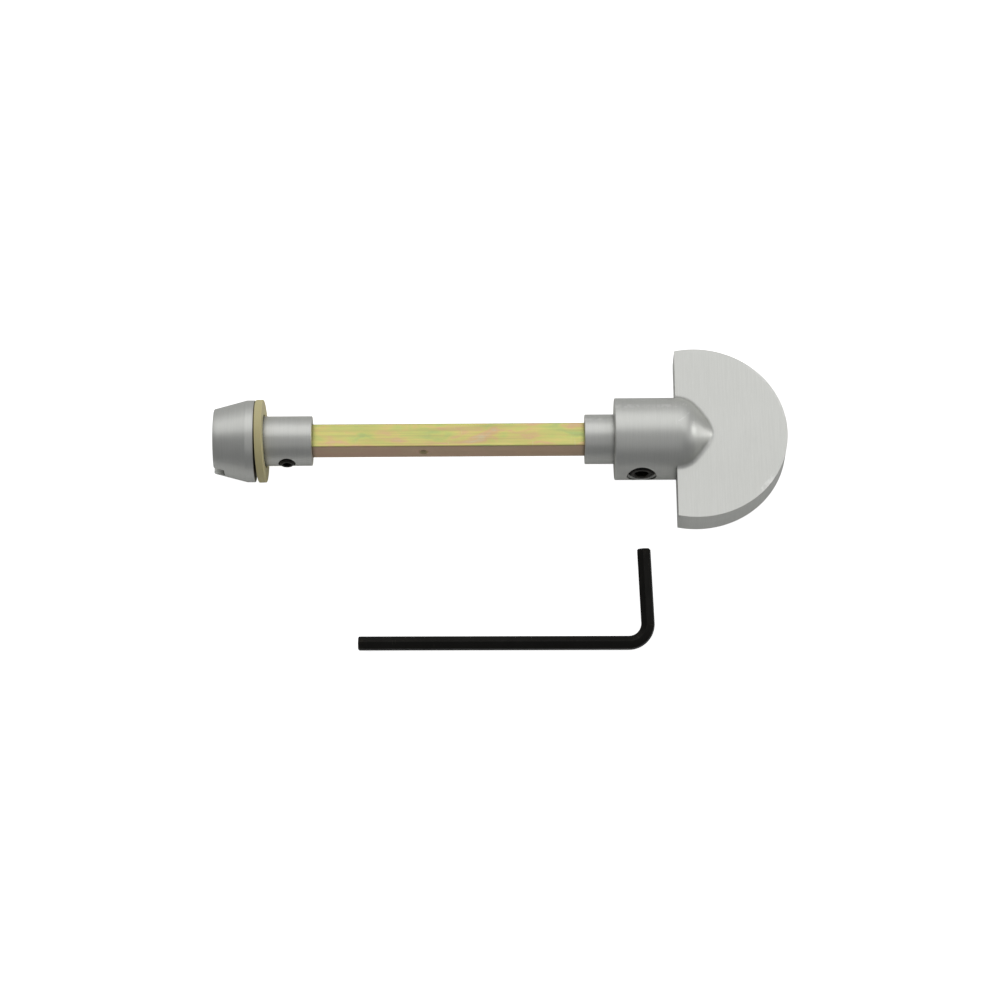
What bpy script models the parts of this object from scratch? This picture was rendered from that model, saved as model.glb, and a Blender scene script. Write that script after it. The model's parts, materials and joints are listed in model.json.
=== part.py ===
"""Bathroom-door thumb turn and emergency release set, lying on a flat surface beside its hex key.

The set shares one axis along +X, from the release knob to the thumb turn. It rests on the hub and
on the back edge of the half-moon plate, so everything on the axis leans back by the lie angle. In
the leaning frame -Y is the side that both grub screws point to and +Z is the plate's normal.
Units are metres.
"""

import math

import bmesh
import bpy
from mathutils import Vector

# Thumb turn
HUB_RADIUS = 0.0080
HUB_LENGTH = 0.0120
NOSE_ROUNDING = 0.0052
NOSE_TAPER = math.radians(45)
TURN_NECK_RADIUS = 0.00485
TURN_NECK_LENGTH = 0.0058
PLATE_RADIUS = 0.0180
PLATE_THICKNESS = 0.0060
PLATE_ARC_OFFSET = 0.0037
PLATE_EDGE_BEVEL = 0.00025
HUB_EDGE_CHAMFER = 0.00025
NECK_EDGE_CHAMFER = 0.00015
TURN_SCREW_SETBACK = 0.0052

# Release knob
HEAD_FRONT_RADIUS = 0.0063
HEAD_BACK_RADIUS = 0.0080
HEAD_CONE_LENGTH = 0.0064
HEAD_BAND_LENGTH = 0.0016
HEAD_EDGE_CHAMFER = 0.00020
RELEASE_NECK_RADIUS = 0.00485
RELEASE_NECK_LENGTH = 0.0111
RELEASE_SCREW_SETBACK = 0.0049
COIN_SLOT_WIDTH = 0.0024
COIN_SLOT_DEPTH = 0.0021

# Spindle and the square bores that take it
SPINDLE_SIDE = 0.0050
SPINDLE_LENGTH = 0.0781
SPINDLE_EDGE_RADIUS = 0.0003
TURN_GRIP = 0.0150
RELEASE_GRIP = 0.0100
BORE_CLEARANCE = 0.0001
BORE_END_GAP = 0.0010
DIMPLE_RADIUS = 0.0006
DIMPLE_DEPTH = 0.00045
DIMPLE_DISTANCE = 0.0217
DIMPLE_STEPS = 24

# Grub screws: thread radius, length, and the hex socket's size across flats and depth
TURN_SCREW_RADIUS = 0.0025
TURN_SCREW_LENGTH = 0.0050
TURN_SCREW_HEX = 0.0025
TURN_SCREW_SOCKET = 0.0025
RELEASE_SCREW_RADIUS = 0.0015
RELEASE_SCREW_LENGTH = 0.0025
RELEASE_SCREW_HEX = 0.0015
RELEASE_SCREW_SOCKET = 0.0012
SCREW_CHAMFER = 0.0003
SCREW_TIP_GAP = 0.0001
SCREW_CLEARANCE = 0.0001
HOLE_CHAMFER = 0.0003
# A cup point is half as wide as its thread, behind a 45 degree taper
CUP_SHARE = 0.5

# Glide washer, loose on the release neck
WASHER_RADIUS = 0.0081
WASHER_NECK_CLEARANCE = 0.00035
WASHER_THICKNESS = 0.0015
WASHER_EDGE_BEVEL = 0.00015
WASHER_TILT = math.radians(2.4)
WASHER_TILT_DIRECTION = math.radians(45)
WASHER_SEAT_GAP = 0.00005

# Hex key
KEY_HEX = 0.0025
KEY_LONG = 0.0583
KEY_SHORT = 0.0199
KEY_BEND_RADIUS = 0.00375
KEY_BEND_ANGLE = math.radians(87.2)
KEY_SECTION_ROLL = math.radians(20)
KEY_TIP_CHAMFER = 0.00025
KEY_HEADING = math.radians(-0.2)
KEY_SPACING = 0.03935
KEY_SETBACK = 0.0040

# How finely the round shapes are divided, and how far cutters reach past a surface
TURNED_STEPS = 72
SCREW_STEPS = 48
BEND_STEPS = 12
PLATE_ARC_STEPS = 64
NOSE_STEPS = 12
CUT_MARGIN = 0.0010
MERGE_DISTANCE = 0.00001

# Places along the axis, measured from the middle of the set's length
SPINDLE_EXPOSED = SPINDLE_LENGTH - TURN_GRIP - RELEASE_GRIP
HEAD_LENGTH = HEAD_CONE_LENGTH + HEAD_BAND_LENGTH
PLATE_LENGTH = PLATE_ARC_OFFSET + PLATE_RADIUS
SET_LENGTH = (
    HEAD_LENGTH
    + RELEASE_NECK_LENGTH
    + SPINDLE_EXPOSED
    + TURN_NECK_LENGTH
    + HUB_LENGTH
    + PLATE_LENGTH
)
HEAD_FRONT_X = -SET_LENGTH / 2
HEAD_BACK_X = HEAD_FRONT_X + HEAD_LENGTH
RELEASE_NECK_END_X = HEAD_BACK_X + RELEASE_NECK_LENGTH
TURN_NECK_END_X = RELEASE_NECK_END_X + SPINDLE_EXPOSED
SHOULDER_X = TURN_NECK_END_X + TURN_NECK_LENGTH
PLATE_X = SHOULDER_X + HUB_LENGTH

# The axis lies as high as the largest of the round pieces on it. The washer stands on the
# surface where its play on the neck lets it.
WASHER_BORE_RADIUS = RELEASE_NECK_RADIUS + WASHER_NECK_CLEARANCE
WASHER_PLAY = WASHER_NECK_CLEARANCE / 2
WASHER_REACH = WASHER_RADIUS * math.cos(WASHER_TILT) + WASHER_THICKNESS / 2 * math.sin(WASHER_TILT)
AXIS_HEIGHT = max(HUB_RADIUS, HEAD_BACK_RADIUS, WASHER_REACH - WASHER_PLAY)
WASHER_LIFT = max(WASHER_REACH - AXIS_HEIGHT, -WASHER_PLAY)

# The lie: the plate leans back about the axis until its lower back edge touches the surface too
PLATE_DIAGONAL = math.hypot(PLATE_RADIUS, PLATE_THICKNESS / 2)
LIE_ANGLE = math.asin(AXIS_HEIGHT / PLATE_DIAGONAL) - math.atan2(PLATE_THICKNESS / 2, PLATE_RADIUS)

# The key's hexagon, corner to corner, and how far its rolled section reaches sideways and down
HALF_A_FLAT = math.radians(30)
KEY_CORNER_RADIUS = KEY_HEX / (2 * math.cos(HALF_A_FLAT))
KEY_HALF_WIDTH = KEY_CORNER_RADIUS * math.cos(KEY_SECTION_ROLL)
KEY_HALF_HEIGHT = KEY_CORNER_RADIUS * math.cos(HALF_A_FLAT - KEY_SECTION_ROLL)
KEY_CORNER_X = PLATE_X - KEY_SETBACK

# Front to back, the set and the key together are centred on the origin
PLATE_BACK_REACH = PLATE_RADIUS * math.cos(LIE_ANGLE) + PLATE_THICKNESS / 2 * math.sin(LIE_ANGLE)
AXIS_Y = (KEY_SPACING + KEY_HALF_WIDTH - PLATE_BACK_REACH) / 2

for old in list(bpy.data.objects):
    bpy.data.objects.remove(old, do_unlink=True)

parts = bpy.data.collections.new("thumb_turn_set")
cutters = bpy.data.collections.new("cutters")
bpy.context.scene.collection.children.link(parts)
bpy.context.scene.collection.children.link(cutters)

lying_axis = bpy.data.objects.new("lying_axis", None)
lying_axis.location = (0, AXIS_Y, AXIS_HEIGHT)
lying_axis.rotation_euler = (-LIE_ANGLE, 0, 0)
parts.objects.link(lying_axis)

ALONG_X = (0, math.radians(90), 0)
TO_SCREW_SIDE = (math.radians(90), 0, 0)


def plain_finish(name, colour, roughness, metallic=1.0):
    """A Principled material with one colour."""
    material = bpy.data.materials.new(name)
    material.use_nodes = True
    shader = material.node_tree.nodes["Principled BSDF"]
    shader.inputs["Base Color"].default_value = (*colour, 1)
    shader.inputs["Roughness"].default_value = roughness
    shader.inputs["Metallic"].default_value = metallic
    return material


def add(name, mesh, location, rotation=(0, 0, 0), parent=lying_axis, collection=parts):
    """A mesh object in its place, in the leaning frame unless it has another parent."""
    obj = bpy.data.objects.new(name, mesh)
    obj.location = location
    obj.rotation_euler = rotation
    obj.parent = parent
    collection.objects.link(obj)
    if collection is cutters:
        obj.hide_render = True
        obj.display_type = "WIRE"
    return obj


def turned(name, profile, location, rotation=ALONG_X, steps=TURNED_STEPS, **place):
    """A solid of revolution from (radius, height) points, highest first, about its own Z axis."""
    mesh = bpy.data.meshes.new(name)
    points = [(radius, 0, height) for radius, height in profile]
    mesh.from_pydata(points, [(i, i + 1) for i in range(len(points) - 1)], [])
    obj = add(name, mesh, location, rotation, **place)
    spin = obj.modifiers.new("Turn", "SCREW")
    spin.steps = steps
    spin.render_steps = steps
    spin.use_merge_vertices = True
    spin.merge_threshold = MERGE_DISTANCE
    return obj


def box(name, size, location, **place):
    """A box of the given size about its location."""
    mesh = bpy.data.meshes.new(name)
    shape = bmesh.new()
    bmesh.ops.create_cube(shape, size=1)
    bmesh.ops.scale(shape, vec=size, verts=shape.verts)
    shape.to_mesh(mesh)
    shape.free()
    return add(name, mesh, location, **place)


def hexagon(name, across_flats, depth, location, rotation):
    """A six-sided cutter that stands on its location, along its own Z axis."""
    mesh = bpy.data.meshes.new(name)
    shape = bmesh.new()
    radius = across_flats / (2 * math.cos(HALF_A_FLAT))
    bmesh.ops.create_cone(shape, cap_ends=True, segments=6, radius1=radius, radius2=radius, depth=depth)
    bmesh.ops.translate(shape, vec=(0, 0, depth / 2), verts=shape.verts)
    shape.to_mesh(mesh)
    shape.free()
    return add(name, mesh, location, rotation, collection=cutters)


def boolean(obj, other, operation="DIFFERENCE"):
    change = obj.modifiers.new(other.name, "BOOLEAN")
    change.operation = operation
    change.object = other


def bevel(obj, width, segments=1):
    change = obj.modifiers.new("Edges", "BEVEL")
    change.width = width
    change.segments = segments


def finish(obj, material):
    """Gives the piece its material, and smooth sides between sharp edges."""
    obj.data.materials.append(material)
    for polygon in obj.data.polygons:
        polygon.use_smooth = True
    obj.data.set_sharp_from_angle(angle=math.radians(30))
    return obj


def screw_hole(name, x, radius, surface_radius, floor):
    """The cutter of a tapped hole on the screw side, with a chamfer where it leaves the surface."""
    top = surface_radius + CUT_MARGIN
    mouth = radius + HOLE_CHAMFER
    drop = math.sqrt(surface_radius**2 - mouth**2)
    profile = [
        (0, top),
        (mouth, top),
        (mouth, drop),
        (radius, drop - HOLE_CHAMFER),
        (radius, floor),
        (0, floor),
    ]
    return turned(name, profile, (x, 0, 0), TO_SCREW_SIDE, SCREW_STEPS, collection=cutters)


def grub_screw(name, x, radius, length, hex_size, socket_depth):
    """A cup-point screw whose origin is the middle of its tip, pointing at the spindle's flat."""
    cup = radius * CUP_SHARE
    profile = [
        (0, length),
        (radius - SCREW_CHAMFER, length),
        (radius, length - SCREW_CHAMFER),
        (radius, radius - cup),
        (cup, 0),
        (0, cup / 2),
    ]
    tip = (x, -(SPINDLE_SIDE / 2 + SCREW_TIP_GAP), 0)
    screw = turned(name, profile, tip, TO_SCREW_SIDE, SCREW_STEPS)
    floor = (x, tip[1] - (length - socket_depth), 0)
    socket = hexagon(name + "_socket", hex_size, socket_depth + CUT_MARGIN, floor, TO_SCREW_SIDE)
    boolean(screw, socket)
    return finish(screw, black_oxide)


def half_moon(name):
    """The plate: an arc closed by the flat edge on the hub's side, as an outline with thickness."""
    curve = bpy.data.curves.new(name, "CURVE")
    curve.dimensions = "2D"
    curve.fill_mode = "BOTH"
    curve.extrude = PLATE_THICKNESS / 2
    line = curve.splines.new("POLY")
    start = math.pi - math.acos(PLATE_ARC_OFFSET / PLATE_RADIUS)
    line.points.add(PLATE_ARC_STEPS)
    for i, point in enumerate(line.points):
        angle = -start + 2 * start * i / PLATE_ARC_STEPS
        x = PLATE_ARC_OFFSET + PLATE_RADIUS * math.cos(angle)
        point.co = (x, PLATE_RADIUS * math.sin(angle), 0, 1)
    line.use_cyclic_u = True
    plate = as_mesh(name, curve, (PLATE_X, 0, 0), parent=lying_axis, collection=cutters)
    bevel(plate, PLATE_EDGE_BEVEL, 2)
    return plate


def as_mesh(name, curve, location, rotation=(0, 0, 0), **place):
    """A curve made into a closed mesh object, its caps welded to its sides."""
    source = bpy.data.objects.new(name + "_curve", curve)
    bpy.context.scene.collection.objects.link(source)
    graph = bpy.context.evaluated_depsgraph_get()
    mesh = bpy.data.meshes.new_from_object(source.evaluated_get(graph))
    bpy.data.objects.remove(source, do_unlink=True)
    shape = bmesh.new()
    shape.from_mesh(mesh)
    bmesh.ops.remove_doubles(shape, verts=shape.verts, dist=MERGE_DISTANCE)
    bmesh.ops.recalc_face_normals(shape, faces=shape.faces)
    shape.to_mesh(mesh)
    shape.free()
    return add(name, mesh, location, rotation, **place)


def square_bore(name, start_x, end_x):
    """The cutter of a square bore for the spindle between two places on the axis."""
    side = SPINDLE_SIDE + 2 * BORE_CLEARANCE
    size = (end_x - start_x, side, side)
    return box(name, size, ((start_x + end_x) / 2, 0, 0), collection=cutters)


def nose_profile(base):
    """The nose from its point down to the hub: a cone, then a rounding that meets the hub's side."""
    round_foot = HUB_RADIUS - NOSE_ROUNDING * (1 - math.cos(NOSE_TAPER))
    point = base + NOSE_ROUNDING * math.sin(NOSE_TAPER) + round_foot / math.tan(NOSE_TAPER)
    angles = [NOSE_TAPER * (1 - i / NOSE_STEPS) for i in range(NOSE_STEPS + 1)]
    rounding = [
        (HUB_RADIUS - NOSE_ROUNDING * (1 - math.cos(a)), base + NOSE_ROUNDING * math.sin(a))
        for a in angles
    ]
    return [(0, point), *rounding]


def thumb_turn():
    """The turned hub, nose and neck with the half-moon plate, the spindle's bore and a tapped hole."""
    hub = HUB_RADIUS
    profile = nose_profile(TURN_NECK_LENGTH + HUB_LENGTH) + [
        (hub, TURN_NECK_LENGTH + HUB_EDGE_CHAMFER),
        (hub - HUB_EDGE_CHAMFER, TURN_NECK_LENGTH),
        (TURN_NECK_RADIUS, TURN_NECK_LENGTH),
        (TURN_NECK_RADIUS, NECK_EDGE_CHAMFER),
        (TURN_NECK_RADIUS - NECK_EDGE_CHAMFER, 0),
        (0, 0),
    ]
    turn = turned("thumb_turn", profile, (TURN_NECK_END_X, 0, 0))
    boolean(turn, half_moon("plate_outline"), "UNION")
    bore_end = TURN_NECK_END_X + TURN_GRIP + BORE_END_GAP
    boolean(turn, square_bore("turn_bore", TURN_NECK_END_X - CUT_MARGIN, bore_end))
    screw_x = SHOULDER_X + TURN_SCREW_SETBACK
    radius = TURN_SCREW_RADIUS + SCREW_CLEARANCE
    boolean(turn, screw_hole("turn_screw_hole", screw_x, radius, HUB_RADIUS, 0))
    return finish(turn, satin_aluminium)


def release_knob():
    band_height = RELEASE_NECK_LENGTH + HEAD_BAND_LENGTH
    top = RELEASE_NECK_LENGTH + HEAD_LENGTH
    profile = [
        (0, top),
        (HEAD_FRONT_RADIUS - HEAD_EDGE_CHAMFER, top),
        (HEAD_FRONT_RADIUS, top - HEAD_EDGE_CHAMFER),
        (HEAD_BACK_RADIUS, band_height),
        (HEAD_BACK_RADIUS, RELEASE_NECK_LENGTH + HEAD_EDGE_CHAMFER),
        (HEAD_BACK_RADIUS - HEAD_EDGE_CHAMFER, RELEASE_NECK_LENGTH),
        (RELEASE_NECK_RADIUS, RELEASE_NECK_LENGTH),
        (RELEASE_NECK_RADIUS, NECK_EDGE_CHAMFER),
        (RELEASE_NECK_RADIUS - NECK_EDGE_CHAMFER, 0),
        (0, 0),
    ]
    facing_release = (0, math.radians(-90), 0)
    knob = turned("release_knob", profile, (RELEASE_NECK_END_X, 0, 0), facing_release)
    bore_end = RELEASE_NECK_END_X - RELEASE_GRIP - BORE_END_GAP
    boolean(knob, square_bore("release_bore", bore_end, RELEASE_NECK_END_X + CUT_MARGIN))
    screw_x = RELEASE_NECK_END_X - RELEASE_SCREW_SETBACK
    radius = RELEASE_SCREW_RADIUS + SCREW_CLEARANCE
    boolean(knob, screw_hole("release_screw_hole", screw_x, radius, RELEASE_NECK_RADIUS, 0))
    size = (COIN_SLOT_DEPTH + CUT_MARGIN, 2 * (HEAD_BACK_RADIUS + CUT_MARGIN), COIN_SLOT_WIDTH)
    middle = HEAD_FRONT_X + (COIN_SLOT_DEPTH - CUT_MARGIN) / 2
    boolean(knob, box("coin_slot", size, (middle, 0, 0), collection=cutters))
    return finish(knob, satin_aluminium)


def spindle():
    start_x = RELEASE_NECK_END_X - RELEASE_GRIP
    middle_x = start_x + SPINDLE_LENGTH / 2
    bar = box("spindle", (SPINDLE_LENGTH, SPINDLE_SIDE, SPINDLE_SIDE), (middle_x, 0, 0))
    bevel(bar, SPINDLE_EDGE_RADIUS, 3)
    flare = 1 + CUT_MARGIN / DIMPLE_DEPTH
    profile = [(0, CUT_MARGIN), (DIMPLE_RADIUS * flare, CUT_MARGIN), (0, -DIMPLE_DEPTH)]
    place = (RELEASE_NECK_END_X + DIMPLE_DISTANCE, -SPINDLE_SIDE / 2, 0)
    boolean(bar, turned("dimple", profile, place, TO_SCREW_SIDE, DIMPLE_STEPS, collection=cutters))
    return finish(bar, yellow_zinc)


def glide_washer():
    """A flat ring leaning against the head's back face on its upper back side."""
    outer, bore = WASHER_RADIUS, WASHER_BORE_RADIUS
    half, edge = WASHER_THICKNESS / 2, WASHER_EDGE_BEVEL
    profile = [
        (bore, half),
        (outer - edge, half),
        (outer, half - edge),
        (outer, edge - half),
        (outer - edge, -half),
        (bore, -half),
        (bore, half),
    ]
    lean = math.sin(WASHER_TILT)
    normal = Vector(
        (
            math.cos(WASHER_TILT),
            lean * math.cos(WASHER_TILT_DIRECTION),
            lean * math.sin(WASHER_TILT_DIRECTION),
        )
    )
    seat = HEAD_BACK_X + WASHER_SEAT_GAP
    middle_x = seat + half * math.cos(WASHER_TILT) + outer * lean
    place = (middle_x, AXIS_Y, AXIS_HEIGHT + WASHER_LIFT)
    rotation = normal.to_track_quat("Z", "Y").to_euler()
    return finish(turned("glide_washer", profile, place, rotation, parent=None), beige_nylon)


def hex_key():
    """A hexagonal bar bent once: the long arm points to -X and the short arm to the back."""
    radius, turn = KEY_BEND_RADIUS, math.pi - KEY_BEND_ANGLE
    tangent = radius * math.tan(turn / 2)
    run = KEY_LONG - KEY_HALF_WIDTH - tangent
    centre = Vector((-tangent, radius, 0))
    tip = Vector((math.cos(turn), math.sin(turn), 0))
    bend = [
        centre + radius * Vector((math.sin(turn * i / BEND_STEPS), -math.cos(turn * i / BEND_STEPS), 0))
        for i in range(BEND_STEPS + 1)
    ]
    start = bend[0] - Vector((run, 0, 0))
    end = bend[-1] + tip * (KEY_SHORT - KEY_HALF_WIDTH - tangent)
    along = Vector((KEY_TIP_CHAMFER, 0, 0))
    points = [start, start + along, *bend, end - tip * KEY_TIP_CHAMFER, end]
    curve = bpy.data.curves.new("hex_key", "CURVE")
    curve.dimensions = "3D"
    curve.bevel_depth = KEY_CORNER_RADIUS
    curve.bevel_resolution = 1
    curve.use_fill_caps = True
    line = curve.splines.new("POLY")
    line.points.add(len(points) - 1)
    for point, place in zip(line.points, points):
        point.co = (*place, 1)
        point.tilt = KEY_SECTION_ROLL
    for end_point in (line.points[0], line.points[-1]):
        end_point.radius = 1 - KEY_TIP_CHAMFER / KEY_CORNER_RADIUS
    place = (KEY_CORNER_X - KEY_HALF_WIDTH, AXIS_Y - KEY_SPACING, KEY_HALF_HEIGHT)
    key = as_mesh("hex_key", curve, place, (0, 0, KEY_HEADING), parent=None)
    return finish(key, black_oxide)


satin_aluminium = plain_finish("satin_aluminium", (0.60, 0.61, 0.60), 0.42)
yellow_zinc = plain_finish("yellow_zinc", (0.62, 0.52, 0.24), 0.35)
black_oxide = plain_finish("black_oxide", (0.02, 0.02, 0.02), 0.45, 0.6)
beige_nylon = plain_finish("beige_nylon", (0.62, 0.56, 0.38), 0.55, 0.0)

thumb_turn()
grub_screw(
    "turn_grub_screw",
    SHOULDER_X + TURN_SCREW_SETBACK,
    TURN_SCREW_RADIUS,
    TURN_SCREW_LENGTH,
    TURN_SCREW_HEX,
    TURN_SCREW_SOCKET,
)
spindle()
release_knob()
glide_washer()
grub_screw(
    "release_grub_screw",
    RELEASE_NECK_END_X - RELEASE_SCREW_SETBACK,
    RELEASE_SCREW_RADIUS,
    RELEASE_SCREW_LENGTH,
    RELEASE_SCREW_HEX,
    RELEASE_SCREW_SOCKET,
)
hex_key()
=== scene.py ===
"""The looks of a bathroom-door thumb turn and emergency release set, lying beside its hex key.

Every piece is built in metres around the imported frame. The set's pieces are made in the leaning
frame: +X runs along the spindle, -Y is the side of the grub screws, +Z is the half-moon's normal.
"""

import json
import math

import bmesh
import bpy
from mathutils import Matrix, Vector


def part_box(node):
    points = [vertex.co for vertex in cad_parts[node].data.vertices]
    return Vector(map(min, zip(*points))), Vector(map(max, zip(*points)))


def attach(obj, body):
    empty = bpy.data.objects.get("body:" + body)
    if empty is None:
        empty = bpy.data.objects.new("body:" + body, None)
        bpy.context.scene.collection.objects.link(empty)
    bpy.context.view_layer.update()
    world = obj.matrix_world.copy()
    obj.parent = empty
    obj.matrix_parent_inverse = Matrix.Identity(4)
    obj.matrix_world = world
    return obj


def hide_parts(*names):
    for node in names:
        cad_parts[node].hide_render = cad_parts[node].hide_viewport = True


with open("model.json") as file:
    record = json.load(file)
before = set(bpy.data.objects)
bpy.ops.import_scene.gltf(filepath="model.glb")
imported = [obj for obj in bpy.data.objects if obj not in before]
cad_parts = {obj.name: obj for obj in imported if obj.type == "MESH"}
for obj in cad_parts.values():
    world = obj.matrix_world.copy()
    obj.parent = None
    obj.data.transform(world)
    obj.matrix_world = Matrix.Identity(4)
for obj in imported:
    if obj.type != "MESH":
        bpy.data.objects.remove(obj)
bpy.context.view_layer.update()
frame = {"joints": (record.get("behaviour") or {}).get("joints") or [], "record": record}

JOINTS = {joint["name"]: joint for joint in frame["joints"]}
MOUNTS = {mount["name"]: mount for mount in frame["record"]["mounts"]}

MM = 0.001

# Where things are, read from the frame
KNOB_LOW, KNOB_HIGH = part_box("release_knob")
TURN_LOW, TURN_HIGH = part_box("thumb_turn")
BAR_LOW, BAR_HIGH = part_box("spindle")
AXIS_Y = (KNOB_LOW.y + KNOB_HIGH.y) / 2
AXIS_Z = (KNOB_LOW.z + KNOB_HIGH.z) / 2
SCREW_AXIS = Vector(JOINTS["turn_screw_travel"]["axis"])
LIE_ANGLE = math.atan2(SCREW_AXIS.z, -SCREW_AXIS.y)
LEANING = Matrix.Translation((0, AXIS_Y, AXIS_Z)) @ Matrix.Rotation(-LIE_ANGLE, 4, "X")
TURN_SCREW_X = MOUNTS["turn_screw_socket"]["pos_m"][0]
RELEASE_SCREW_X = MOUNTS["release_screw_socket"]["pos_m"][0]
SHOULDER_X = MOUNTS["turn_shoulder"]["pos_m"][0]

# Thumb turn
HUB_RADIUS = 8.0 * MM
TURN_NECK_RADIUS = 4.85 * MM
PLATE_RADIUS = 18.0 * MM
PLATE_ARC_OFFSET = 3.7 * MM
PLATE_HALF = 3.0 * MM
PLATE_EDGE = 0.25 * MM
PLATE_INSET = 0.95  # border points on the half-moon's faces, as a share of its outline
RIM_ROWS = 6  # rows of points across the half-moon's rim; both keep edge wear at the edges
ARC_STEPS = 128
NOSE_ROUNDING = 5.2 * MM
NOSE_TAPER = math.radians(45)
NOSE_FILLET = 1.2 * MM  # the hollow blend from the nose to the plate
NOSE_STEPS = 32
NOSE_COLUMNS = 96
FILLET_STEPS = 10
HUB_EDGE = 0.22 * MM
HUB_SIDE_STEPS = 26
TURN_BORE_DEPTH = 16.0 * MM
PLATE_X = TURN_HIGH.x - PLATE_RADIUS - PLATE_ARC_OFFSET

# Release knob
HEAD_FRONT_RADIUS = 6.3 * MM
HEAD_FRONT_EDGE = 0.2 * MM
HEAD_BACK_RADIUS = 8.0 * MM
HEAD_CONE = 6.4 * MM
HEAD_CONE_EDGE = 0.25 * MM
HEAD_LENGTH = 8.0 * MM
HEAD_BACK_EDGE = 0.18 * MM
RELEASE_NECK_RADIUS = 4.85 * MM
RELEASE_BORE_DEPTH = 11.0 * MM
COIN_SLOT_WIDTH = 2.4 * MM
COIN_SLOT_DEPTH = 2.1 * MM
COIN_SLOT_FLARE = 0.18 * MM

# Both turned pieces
NECK_EDGE = 0.15 * MM
NECK_ROOT = 0.12 * MM
RING_PITCH = 0.8 * MM
BORE_SIDE = 5.2 * MM
CUTTER_CLEAR = 1.0 * MM  # how far a cutter stands out of the metal

# Spindle
BAR_SIDE = 5.0 * MM
BAR_EDGE = 0.3 * MM
BAR_EDGE_STEPS = 5
BAR_END_EDGE = 0.15 * MM
BAR_PITCH = 1.5 * MM
BAR_FACE_PITCH = 0.8 * MM
DIMPLE_RADIUS = 0.95 * MM
DIMPLE_DEPTH = 0.9 * MM
DIMPLE_LIP = 0.07 * MM
DIMPLE_REACH = 3 * DIMPLE_RADIUS
DIMPLE_PITCH = 0.08 * MM
DIMPLE_X = KNOB_HIGH.x + 21.7 * MM

# Grub screws: thread radius, length, pitch, hex size and depth, the chamfer round the hole's mouth
TURN_SCREW = {
    "radius": 2.5 * MM,
    "length": 5.0 * MM,
    "pitch": 0.8 * MM,
    "hex": 2.5 * MM,
    "socket": 2.5 * MM,
    "mouth": 0.3 * MM,
}
RELEASE_SCREW = {
    "radius": 1.5 * MM,
    "length": 2.5 * MM,
    "pitch": 0.5 * MM,
    "hex": 1.5 * MM,
    "socket": 1.2 * MM,
    "mouth": 0.08 * MM,
}
SCREW_PLAY = 0.1 * MM
SCREW_TIP = BAR_SIDE / 2 + SCREW_PLAY
THREAD_DEPTH = 0.6  # of the pitch
THREAD_ROWS = 12  # to each turn
THREAD_STEPS = 96
CUP_MOUTH = 1.9  # the cup's cutter and its depth, as shares of the point's radius
CUP_DEPTH = 0.5
SOCKET_LEAD = 1.02  # the lead-in cone's radius, as a share of the hexagon's corner radius
SOCKET_CLEAR = 0.5 * MM
HOLE_THREAD = 0.06 * MM
HOLE_ROWS = 8  # to each turn

# Glide washer
WASHER_RADIUS = 8.1 * MM
WASHER_BORE = 5.2 * MM
WASHER_HALF = 0.75 * MM
WASHER_EDGE = 0.2 * MM

# Hex key
KEY_HEX = 2.5 * MM
KEY_LONG = 58.3 * MM
KEY_SHORT = 19.9 * MM
KEY_BEND_RADIUS = 3.75 * MM
KEY_BEND = math.radians(180 - 87.2)
KEY_ROLL = math.radians(20)
KEY_CORNER = KEY_HEX / math.sqrt(3)
KEY_EDGE = 0.14 * MM
KEY_EDGE_STEPS = 4
KEY_TIP = 0.25 * MM
KEY_PITCH = 2.0 * MM
KEY_BEND_STEPS = 40

ROUND_STEPS = 180
CONE_STEPS = 72


# ---------------------------------------------------------------- shader nodes


def add_node(tree, kind, inputs=(), **settings):
    """A node with its settings, and each input set to a value or linked to a socket."""
    node = tree.nodes.new(kind)
    for name, value in settings.items():
        setattr(node, name, value)
    for name, value in dict(inputs).items():
        if isinstance(value, bpy.types.NodeSocket):
            tree.links.new(value, node.inputs[name])
        else:
            node.inputs[name].default_value = value
    return node


def maths(tree, operation, first, second=0.0):
    """One sum, product or other operation on two values."""
    return add_node(tree, "ShaderNodeMath", {0: first, 1: second}, operation=operation).outputs[0]


def ramp(tree, value, low, high, out_low=0.0, out_high=1.0):
    """The value stretched from low..high to out_low..out_high, and held there."""
    limits = {"From Min": low, "From Max": high, "To Min": out_low, "To Max": out_high}
    node = add_node(tree, "ShaderNodeMapRange", {"Value": value, **limits}, clamp=True)
    return node.outputs["Result"]


def mix_colours(tree, share, first, second):
    """The first colour where the share is 0, the second where it is 1."""
    node = add_node(tree, "ShaderNodeMix", {0: share, 6: first, 7: second}, data_type="RGBA")
    return node.outputs[2]


def noise(tree, vector, scale, detail=3.0, roughness=0.5, distortion=0.0):
    """Soft noise between 0 and 1."""
    look = {"Scale": scale, "Detail": detail, "Roughness": roughness, "Distortion": distortion}
    return add_node(tree, "ShaderNodeTexNoise", {"Vector": vector, **look}).outputs["Fac"]


def stretched(tree, vector, scale, turn=0.0):
    """The vector scaled along each axis, after a turn about Z."""
    inputs = {"Vector": vector, "Scale": scale, "Rotation": (0, 0, turn)}
    return add_node(tree, "ShaderNodeMapping", inputs, vector_type="POINT").outputs["Vector"]


def per_metre(tree, size):
    """How many spans of this size, in millimetres, make a metre."""
    return maths(tree, "DIVIDE", 1000.0, size)


def sized(tree, vector, size):
    """The vector scaled so that one unit of noise spans this size, in millimetres."""
    inputs = {0: vector, "Scale": per_metre(tree, size)}
    return add_node(tree, "ShaderNodeVectorMath", inputs, operation="SCALE").outputs[0]


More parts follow.
